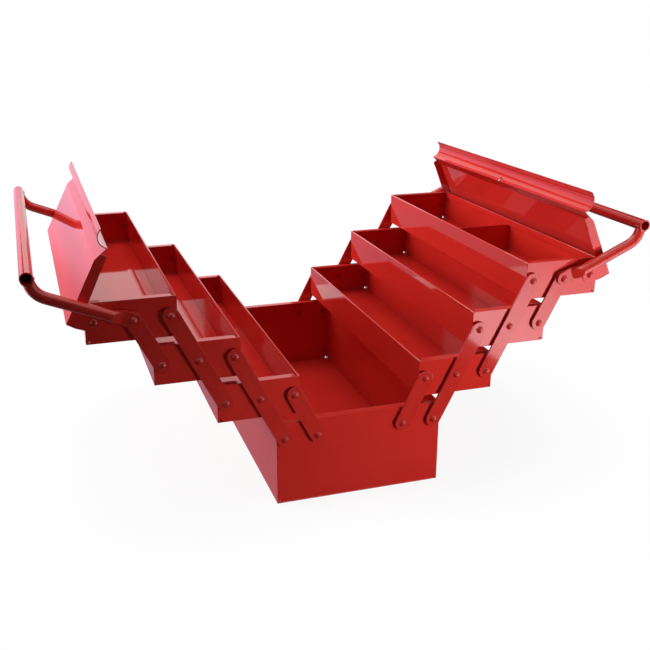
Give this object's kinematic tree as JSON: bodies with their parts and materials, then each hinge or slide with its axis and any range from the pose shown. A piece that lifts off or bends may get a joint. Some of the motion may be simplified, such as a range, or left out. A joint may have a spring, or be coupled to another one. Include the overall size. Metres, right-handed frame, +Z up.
{
  "type": "cantilever tool box",
  "caption": "Folded-steel cantilever tool box: a base pan, stacked trays that swing out both ways on riveted links, hinged lids and tube handles.",
  "frame": {"origin": "middle of the underside of the base pan", "axes": "+X across the box, the way the right-hand trays open; +Y along the trays from the front end to the rear end; +Z up. The rest pose is the box opened out."},
  "size_m": [0.7092, 0.4534, 0.3412],
  "materials": {
    "pans": "glossy red enamel on folded steel sheet",
    "lids": "glossy red enamel on folded steel sheet",
    "dividers": "glossy red enamel on steel sheet",
    "links": "glossy red enamel on flat steel bar",
    "handles": "glossy red enamel on steel tube",
    "rivets": "red enamel on steel rivets",
    "washers": "red enamel on steel washers"
  },
  "bodies": {
    "base": {"base_pan": "pans", "base_rivets": "rivets", "base_washers": "washers"},
    "left_lower_long_links": {"left_lower_long_link_front": "links", "left_lower_long_link_rear": "links"},
    "left_lower_short_links": {"left_lower_short_link_front": "links", "left_lower_short_link_rear": "links"},
    "left_upper_long_links": {"left_upper_long_link_front": "links", "left_upper_long_link_rear": "links"},
    "left_upper_short_links": {"left_upper_short_link_front": "links", "left_upper_short_link_rear": "links"},
    "left_lower_tray_set": {"left_lower_tray": "pans", "left_lower_rivets": "rivets", "left_lower_washers": "washers"},
    "left_middle_tray_set": {"left_middle_tray": "pans", "left_middle_rivets": "rivets", "left_middle_washers": "washers"},
    "left_top_tray_set": {"left_top_tray": "pans", "left_top_rivets": "rivets", "left_top_washers": "washers"},
    "left_lid_set": {"left_lid": "lids"},
    "left_handle_set": {"left_handle_grip": "handles", "left_handle_arm_front": "handles", "left_handle_arm_rear": "handles"},
    "right_lower_long_links": {"right_lower_long_link_front": "links", "right_lower_long_link_rear": "links"},
    "right_lower_short_links": {"right_lower_short_link_front": "links", "right_lower_short_link_rear": "links"},
    "right_upper_long_links": {"right_upper_long_link_front": "links", "right_upper_long_link_rear": "links"},
    "right_upper_short_links": {"right_upper_short_link_front": "links", "right_upper_short_link_rear": "links"},
    "right_lower_tray_set": {"right_lower_tray": "pans", "right_lower_rivets": "rivets", "right_lower_washers": "washers"},
    "right_middle_tray_set": {"right_middle_tray": "pans", "right_middle_rivets": "rivets", "right_middle_washers": "washers"},
    "right_top_tray_set": {"right_top_tray": "pans", "right_top_rivets": "rivets", "right_top_washers": "washers", "right_top_divider": "dividers"},
    "right_lid_set": {"right_lid": "lids"},
    "right_handle_set": {"right_handle_grip": "handles", "right_handle_arm_front": "handles", "right_handle_arm_rear": "handles"}
  },
  "joints": [
    {"name": "left_trays_fold", "type": "hinge", "parent": "base", "child": "left_lower_long_links", "pos_m": [-0.091, 0, 0.082], "axis": [0, 1, 0], "range_deg": [0, 67.91]},
    {"name": "left_lower_tray_level", "type": "hinge", "parent": "left_lower_long_links", "child": "left_lower_tray_set", "pos_m": [-0.11803, 0, 0.13506], "axis": [0, 1, 0], "range_deg": [-67.91, 0]},
    {"name": "left_middle_tray_level", "type": "hinge", "parent": "left_lower_long_links", "child": "left_middle_tray_set", "pos_m": [-0.14507, 0, 0.18812], "axis": [0, 1, 0], "range_deg": [-67.91, 0]},
    {"name": "left_lower_short_links_fold", "type": "hinge", "parent": "base", "child": "left_lower_short_links", "pos_m": [-0.052, 0, 0.082], "axis": [0, 1, 0], "range_deg": [0, 67.91]},
    {"name": "left_upper_long_links_fold", "type": "hinge", "parent": "left_middle_tray_set", "child": "left_upper_long_links", "pos_m": [-0.18407, 0, 0.18812], "axis": [0, 1, 0], "range_deg": [0, 67.91]},
    {"name": "left_top_tray_level", "type": "hinge", "parent": "left_upper_long_links", "child": "left_top_tray_set", "pos_m": [-0.2111, 0, 0.24117], "axis": [0, 1, 0], "range_deg": [-67.91, 0]},
    {"name": "left_upper_short_links_fold", "type": "hinge", "parent": "left_middle_tray_set", "child": "left_upper_short_links", "pos_m": [-0.22307, 0, 0.18812], "axis": [0, 1, 0], "range_deg": [0, 67.91]},
    {"name": "left_lid_hinge", "type": "hinge", "parent": "left_top_tray_set", "child": "left_lid_set", "pos_m": [-0.2891, 0, 0.24117], "axis": [0, 1, 0], "range_deg": [0, 60]},
    {"name": "left_handle_hinge", "type": "hinge", "parent": "left_top_tray_set", "child": "left_handle_set", "pos_m": [-0.2501, 0, 0.24117], "axis": [0, 1, 0], "range_deg": [0, 83.26]},
    {"name": "right_trays_fold", "type": "hinge", "parent": "base", "child": "right_lower_long_links", "pos_m": [0.091, 0, 0.082], "axis": [0, -1, 0], "range_deg": [0, 67.91]},
    {"name": "right_lower_tray_level", "type": "hinge", "parent": "right_lower_long_links", "child": "right_lower_tray_set", "pos_m": [0.11803, 0, 0.13506], "axis": [0, -1, 0], "range_deg": [-67.91, 0]},
    {"name": "right_middle_tray_level", "type": "hinge", "parent": "right_lower_long_links", "child": "right_middle_tray_set", "pos_m": [0.14507, 0, 0.18812], "axis": [0, -1, 0], "range_deg": [-67.91, 0]},
    {"name": "right_lower_short_links_fold", "type": "hinge", "parent": "base", "child": "right_lower_short_links", "pos_m": [0.052, 0, 0.082], "axis": [0, -1, 0], "range_deg": [0, 67.91]},
    {"name": "right_upper_long_links_fold", "type": "hinge", "parent": "right_middle_tray_set", "child": "right_upper_long_links", "pos_m": [0.18407, 0, 0.18812], "axis": [0, -1, 0], "range_deg": [0, 67.91]},
    {"name": "right_top_tray_level", "type": "hinge", "parent": "right_upper_long_links", "child": "right_top_tray_set", "pos_m": [0.2111, 0, 0.24117], "axis": [0, -1, 0], "range_deg": [-67.91, 0]},
    {"name": "right_upper_short_links_fold", "type": "hinge", "parent": "right_middle_tray_set", "child": "right_upper_short_links", "pos_m": [0.22307, 0, 0.18812], "axis": [0, -1, 0], "range_deg": [0, 67.91]},
    {"name": "right_lid_hinge", "type": "hinge", "parent": "right_top_tray_set", "child": "right_lid_set", "pos_m": [0.2891, 0, 0.24117], "axis": [0, -1, 0], "range_deg": [0, 63]},
    {"name": "right_handle_hinge", "type": "hinge", "parent": "right_top_tray_set", "child": "right_handle_set", "pos_m": [0.2501, 0, 0.24117], "axis": [0, -1, 0], "range_deg": [0, 81.26]}
  ],
  "couplings": [
    {"joint": "left_lower_tray_level", "follows": "left_trays_fold", "ratio": -1},
    {"joint": "left_middle_tray_level", "follows": "left_trays_fold", "ratio": -1},
    {"joint": "left_lower_short_links_fold", "follows": "left_trays_fold", "ratio": 1},
    {"joint": "left_upper_long_links_fold", "follows": "left_trays_fold", "ratio": 1},
    {"joint": "left_top_tray_level", "follows": "left_trays_fold", "ratio": -1},
    {"joint": "left_upper_short_links_fold", "follows": "left_trays_fold", "ratio": 1},
    {"joint": "right_lower_tray_level", "follows": "right_trays_fold", "ratio": -1},
    {"joint": "right_middle_tray_level", "follows": "right_trays_fold", "ratio": -1},
    {"joint": "right_lower_short_links_fold", "follows": "right_trays_fold", "ratio": 1},
    {"joint": "right_upper_long_links_fold", "follows": "right_trays_fold", "ratio": 1},
    {"joint": "right_top_tray_level", "follows": "right_trays_fold", "ratio": -1},
    {"joint": "right_upper_short_links_fold", "follows": "right_trays_fold", "ratio": 1}
  ]
}
